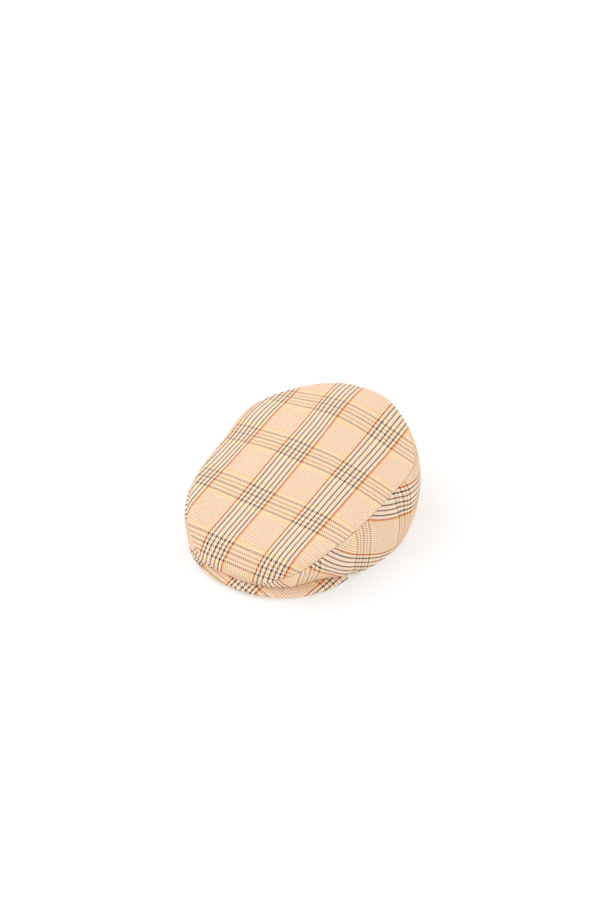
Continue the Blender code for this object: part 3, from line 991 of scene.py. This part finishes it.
def makeStitches(name, line, closed):
    count = len(line)
    mesh = bpy.data.meshes.new(name + "Path")
    edges = [(i, (i + 1) % count) for i in range(count if closed else count - 1)]
    mesh.from_pydata(line.tolist(), edges, [])
    path = bpy.data.objects.new(name + "Path", mesh)
    bpy.context.scene.collection.objects.link(path)
    sewing = path.modifiers.new("Stitches", "NODES")
    sewing.node_group = stitchTree
    sockets = {s.name: s.identifier for s in stitchTree.interface.items_tree if s.in_out == "INPUT"}
    sewing[sockets["Pitch"]] = stitches["pitch"]
    sewing[sockets["Length"]] = stitches["length"]
    sewing[sockets["Radius"]] = stitches["radius"]
    sewing[sockets["Thread"]] = sewingThread
    shown = path.evaluated_get(bpy.context.evaluated_depsgraph_get())
    made = bpy.data.meshes.new_from_object(shown)
    item = bpy.data.objects.new(name, made)
    bpy.context.scene.collection.objects.link(item)
    bpy.data.objects.remove(path, do_unlink=True)
    made.materials.clear()
    made.materials.append(sewingThread)
    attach(item, "root")


def makeAllStitches():
    around = np.radians(np.arange(360) - 180.0)
    band = rimPoint(around, stitches["bandInset"], stitches["bandHeight"])
    makeStitches("bandStitches", band, True)
    inset = label["inset"] + label["thickness"] + stitches["labelClearance"]
    margin, steps = stitches["labelMargin"], stitches["labelSteps"]
    half = (label["width"] / 2 - margin) / form["rimHalfWidth"]
    low, high = label["middle"] - label["height"] / 2 + margin, label["middle"] + label["height"] / 2 - margin
    corners = [(-half, low), (half, low), (half, high), (-half, high), (-half, low)]
    line = []
    for (a0, z0), (a1, z1) in zip(corners, corners[1:]):
        for k in range(steps):
            share = k / steps
            line.append(rimPoint(math.pi + a0 + (a1 - a0) * share, inset, z0 + (z1 - z0) * share))
    makeStitches("labelStitches", np.array(line), True)


makeAllStitches()
print("cap: stitches ready")


# ---- the board keeps its CAD shape, with a better finish

def makeBoardMaterial():
    # moulded polyethylene sheet: off-white, waxy and slightly cloudy
    material, tree, shader = newMaterial("visorPolyethylene")
    place = addNode(tree, "ShaderNodeTexCoord").outputs["Object"]
    cloud = addNode(tree, "ShaderNodeTexNoise", {"Vector": place, "Scale": 60.0, "Detail": 3.0})
    colour = mixed(tree, cloud.outputs["Fac"], linearFromHex("dedbd0"), linearFromHex("efede4"))
    tree.links.new(colour, shader.inputs["Base Color"])
    shader.inputs["Roughness"].default_value = 0.4
    shader.inputs["IOR"].default_value = 1.52
    return material


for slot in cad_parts["visor_board"].material_slots:
    slot.material = makeBoardMaterial()


# ---- camera, floor and light

studio = {
    "azimuth": 34.6,
    "elevation": 38.1,
    "distance": 3.6,
    "sensor": 36.0,  # height of the film, in mm
    "frameHeight": 0.7965,  # what the frame's long side takes in at the cap
    "aim": (-7.8 * mm, 58.2 * mm),  # from the origin to the middle of the frame, to the right and up in it
    "sky": 0.97,
    "keyPower": 14.0,
    "floor": "bcbcbc",
    "floorReach": 6.0,
    "softBoxSize": 1.6,
    "softBoxPlace": (-1.3, 0.9, 1.6),  # right and up in the frame, and straight up
    "floorGlow": 0.49,  # the paper is lit from behind, so the shadow on it stays faint
}


def makeStudio():
    a, e = math.radians(studio["azimuth"]), math.radians(studio["elevation"])
    right = Vector((math.cos(a), math.sin(a), 0.0))
    up = Vector((-math.sin(a) * math.sin(e), math.cos(a) * math.sin(e), math.cos(e)))
    back = Vector((math.sin(a) * math.cos(e), -math.cos(a) * math.cos(e), math.sin(e)))
    target = right * studio["aim"][0] + up * studio["aim"][1]
    lens = bpy.data.cameras.new("studioCamera")
    lens.sensor_fit = "VERTICAL"
    lens.sensor_height = studio["sensor"]
    lens.lens = studio["sensor"] * studio["distance"] / studio["frameHeight"]
    lens.clip_end = 50.0
    camera = bpy.data.objects.new("studioCamera", lens)
    bpy.context.scene.collection.objects.link(camera)
    camera.location = target + back * studio["distance"]
    camera.rotation_euler = back.to_track_quat("Z", "Y").to_euler()
    bpy.context.scene.camera = camera

    mesh = bpy.data.meshes.new("studioFloor")
    far = studio["floorReach"]
    mesh.from_pydata([(-far, -far, 0), (far, -far, 0), (far, far, 0), (-far, far, 0)], [], [(0, 1, 2, 3)])
    floor = bpy.data.objects.new("studioFloor", mesh)
    bpy.context.scene.collection.objects.link(floor)
    paper, _, shader = newMaterial("whitePaper")  # seamless background paper, matt and even
    shader.inputs["Base Color"].default_value = linearFromHex(studio["floor"])
    shader.inputs["Roughness"].default_value = 1.0
    shader.inputs["Specular IOR Level"].default_value = 0.0
    shader.inputs["Emission Color"].default_value = (1.0, 1.0, 1.0, 1.0)
    shader.inputs["Emission Strength"].default_value = studio["floorGlow"]
    mesh.materials.append(paper)

    world = bpy.data.worlds.new("studioSky")
    world.use_nodes = True
    sky = world.node_tree.nodes["Background"]
    sky.inputs["Color"].default_value = (1.0, 1.0, 1.0, 1.0)
    sky.inputs["Strength"].default_value = studio["sky"]
    bpy.context.scene.world = world

    soft = bpy.data.lights.new("softBox", "AREA")
    soft.shape = "DISK"
    soft.size = studio["softBoxSize"]
    soft.energy = studio["keyPower"]
    softBox = bpy.data.objects.new("softBox", soft)
    bpy.context.scene.collection.objects.link(softBox)
    across, along, above = studio["softBoxPlace"]
    place = right * across + up * along + Vector((0, 0, above))
    softBox.location = place
    softBox.rotation_euler = place.to_track_quat("Z", "Y").to_euler()
    bpy.context.scene.view_settings.view_transform = "Standard"


makeStudio()
print("cap: studio ready")
